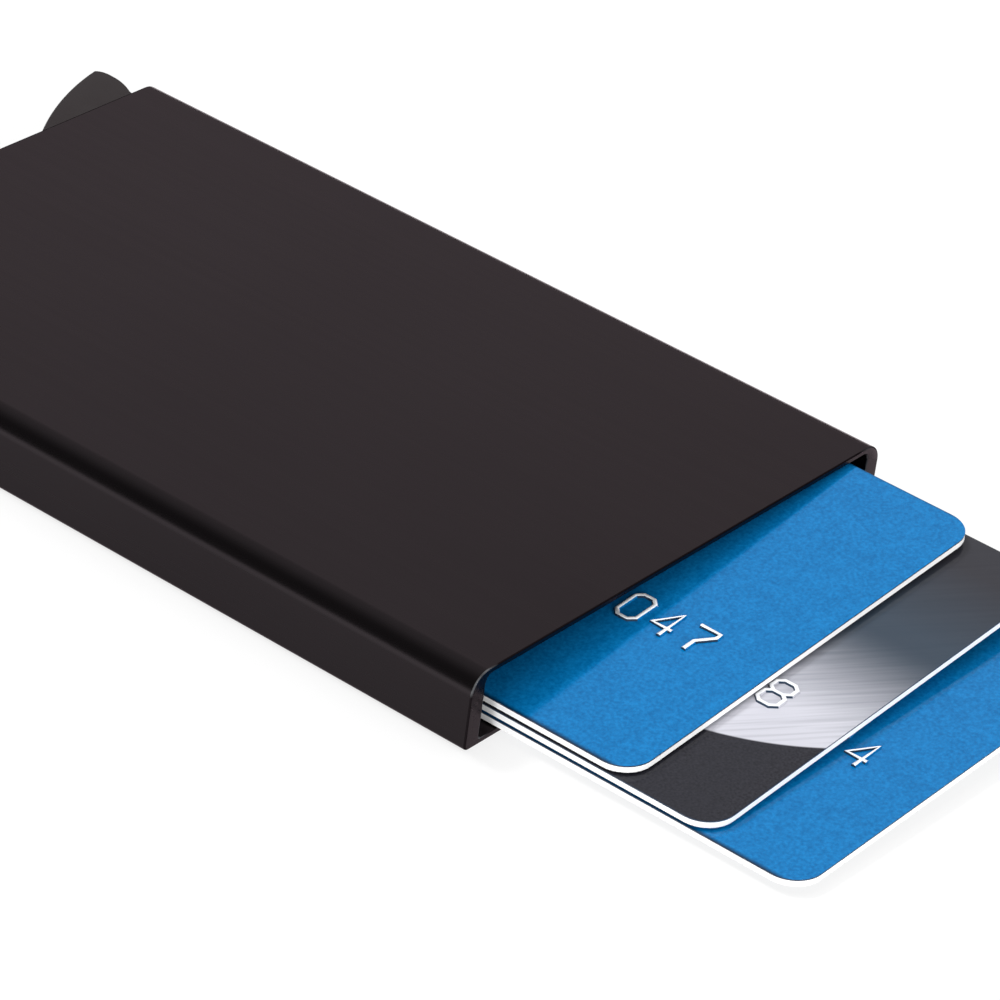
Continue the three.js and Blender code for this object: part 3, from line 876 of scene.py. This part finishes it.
for level, number, print_finish, slot_name in (
    ("top", "4780 0874 8407 8047", blue_finish, "blue_card"),
    ("middle", "0874 7840 4780 7408", charcoal_finish, "charcoal_card"),
    ("bottom", "7408 4087 0748 0874", blue_finish, "blue_card"),
):
    card_low, card_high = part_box("card_" + level)
    lean = math.asin((card_high.z - card_low.z) / math.hypot(card_width, card_thickness)) - math.atan2(
        card_thickness, card_width)
    place = Vector((card_low.x + card_thickness * math.sin(lean), card_low.y, card_low.z))

    card = copy_of(blank, level + "_card")
    for finish in (core_finish, print_finish, back_finish, seam_and_shade_finish):
        card.data.materials.append(finish)
    # The upper sheet's cut edge takes the dark seam colour, partly the print and partly painted shade of the
    # gaps between the cards
    for face in card.data.polygons:
        if abs(face.normal.z) > square_on:
            face.material_index = 1 if face.normal.z > 0 else 2
        else:
            face.material_index = 3 if face.center.z > card_thickness - sheet_thickness else 0
    lay(card, lean, place)
    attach(card, level + "_card")
    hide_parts("card_" + level)

    digits = embossed_number(level + "_card_number", number)
    lay(digits, lean, place)
    smooth(digits, 60)
    for finish in (foil_finish, seam_and_shade_finish, print_finish):
        digits.data.materials.append(finish)
    # The foil lies on the tops, and the side towards the low edge carries painted shade in the dark seam
    # colour
    for face in digits.data.polygons:
        is_top = face.normal.z >= 0.4
        is_shaded_side = face.normal.x < -0.2
        face.material_index = 0 if is_top else 1 if is_shaded_side else 2
    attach(digits, level + "_card")
bpy.data.objects.remove(blank)

# Studio: a white table with a painted glow, dimmer under the holder, soft lights behind and overhead, and low
# fills in front and to the left. The room is white behind and to the right and dim to the left, which the
# rounded edge shows as a dark band, and a panel at the front left stands in the reflections that are seen
# from behind.
floor_size = 6.0
dim_reach = 41 * mm
bright_reach = 49 * mm
light_distance = 1.2
bpy.ops.object.select_all(action="DESELECT")
bpy.ops.mesh.primitive_plane_add(size=floor_size)
table = bpy.context.object
table.name = "table"


def glowing_acrylic(tree):
    """White acrylic with a painted glow in place of light from below, a little less under the holder: white
    that keeps only a faint shadow.
    """
    place = node(tree, "TexCoord").outputs["Object"]
    cloud = node(tree, "TexNoise", {"Vector": place, "Scale": per_size(40), "Detail": 2.0})
    tone = node(tree, "Mix", {
        0: cloud.outputs["Fac"], 6: colour("#7a7a7a"), 7: colour("#7e7e7e")}, data_type="RGBA")
    across = node(tree, "SeparateXYZ", {"Vector": place})
    reach = node(tree, "Math", {0: across.outputs["X"]}, operation="ABSOLUTE")
    # Painted light: the table glows at 0.76 within 41 mm of the middle and at 1.55 beyond 49 mm, and the
    # sleeve's sides reflect it
    glow = node(tree, "MapRange", {
        "Value": reach.outputs["Value"], "From Min": dim_reach, "From Max": bright_reach,
        "To Min": 0.76, "To Max": 1.55})
    return node(tree, "BsdfPrincipled", {
        "Base Color": tone.outputs[2], "Roughness": 0.9, "Specular IOR Level": 0.1,
        "Emission Color": colour("#ffffff"), "Emission Strength": glow.outputs["Result"]})


table.data.materials.append(finish_material("glowing white acrylic", glowing_acrylic))


def soft_light(name, azimuth, elevation, size, power):
    """A square area light that faces the holder, placed by its angles in degrees round the sleeve."""
    turn = math.radians(azimuth)
    tilt = math.radians(elevation)
    away = Vector((
        math.sin(turn) * math.cos(tilt), -math.cos(turn) * math.cos(tilt), math.sin(tilt)))
    bpy.ops.object.light_add(type="AREA", location=away * light_distance)
    light = bpy.context.object
    light.name = name
    light.rotation_euler = away.to_track_quat("Z", "Y").to_euler()
    light.data.size = size
    light.data.energy = power
    return light


# The softboxes and fills light the table and the prints, and are kept out of the reflections
for light in (
    soft_light("rear_softbox", azimuth=180, elevation=60, size=0.16, power=5.75),
    soft_light("overhead_softbox", azimuth=180, elevation=70, size=1.0, power=5),
    soft_light("left_fill", azimuth=-80, elevation=12, size=0.3, power=5),
    soft_light("front_softbox", azimuth=-20, elevation=10, size=0.3, power=9),
):
    light.visible_glossy = False
soft_light("front_glint", azimuth=-17, elevation=26, size=0.1, power=0.4)
# The panel shows in reflections alone
front_panel = soft_light("front_panel", azimuth=-55, elevation=38, size=1.4, power=4)
front_panel.visible_diffuse = False
front_panel.visible_camera = False

room = bpy.data.worlds.new("room")
bpy.context.scene.world = room
room.use_nodes = True
room_tree = room.node_tree
room_tree.nodes.clear()
direction = node(room_tree, "SeparateXYZ", {
    "Vector": node(room_tree, "TexCoord").outputs["Generated"]})
right_side = node(room_tree, "MapRange", {
    "Value": direction.outputs["X"], "From Min": -0.5, "From Max": 0.15})
raised = node(room_tree, "MapRange", {
    "Value": direction.outputs["Z"], "From Min": 0.2, "From Max": 0.4})
white_part = node(room_tree, "Math", {
    0: right_side.outputs["Result"], 1: raised.outputs["Result"]}, operation="MULTIPLY")
upper_fall = node(room_tree, "MapRange", {
    "Value": direction.outputs["Z"], "From Min": 0.44, "From Max": 0.62, "To Min": 1.06, "To Max": 0.8})
brightness = node(room_tree, "MapRange", {
    "Value": white_part.outputs["Value"], "To Min": 0.22, "To Max": upper_fall.outputs["Result"]})
walls = node(room_tree, "Background", {
    "Color": colour("#ffffff"), "Strength": brightness.outputs["Result"]})
node(room_tree, "OutputWorld", {"Surface": walls.outputs["Background"]})
bpy.context.scene.view_settings.view_transform = "Standard"

# Camera: a long lens from the front left, rolled a little, at the angle of the photograph. Its place and turn
# are those that line up the straight edges of the sleeve and the cards.
lens = 180.53
camera_azimuth = math.radians(-54.7496)
camera_elevation = math.radians(31.4196)
camera_roll = math.radians(7.7006)
camera_place = Vector((-335.678, -263.197, 254.444)) * mm
backward = Vector((
    math.sin(camera_azimuth) * math.cos(camera_elevation),
    -math.cos(camera_azimuth) * math.cos(camera_elevation),
    math.sin(camera_elevation)))
level_right = Vector((math.cos(camera_azimuth), math.sin(camera_azimuth), 0))
level_up = backward.cross(level_right)
right = level_right * math.cos(camera_roll) + level_up * math.sin(camera_roll)
upward = level_up * math.cos(camera_roll) - level_right * math.sin(camera_roll)
bpy.ops.object.camera_add()
camera = bpy.context.object
camera.data.lens = lens
camera_turn = Matrix((right, upward, backward)).transposed()
camera.matrix_world = Matrix.Translation(camera_place) @ camera_turn.to_4x4()
bpy.context.scene.camera = camera
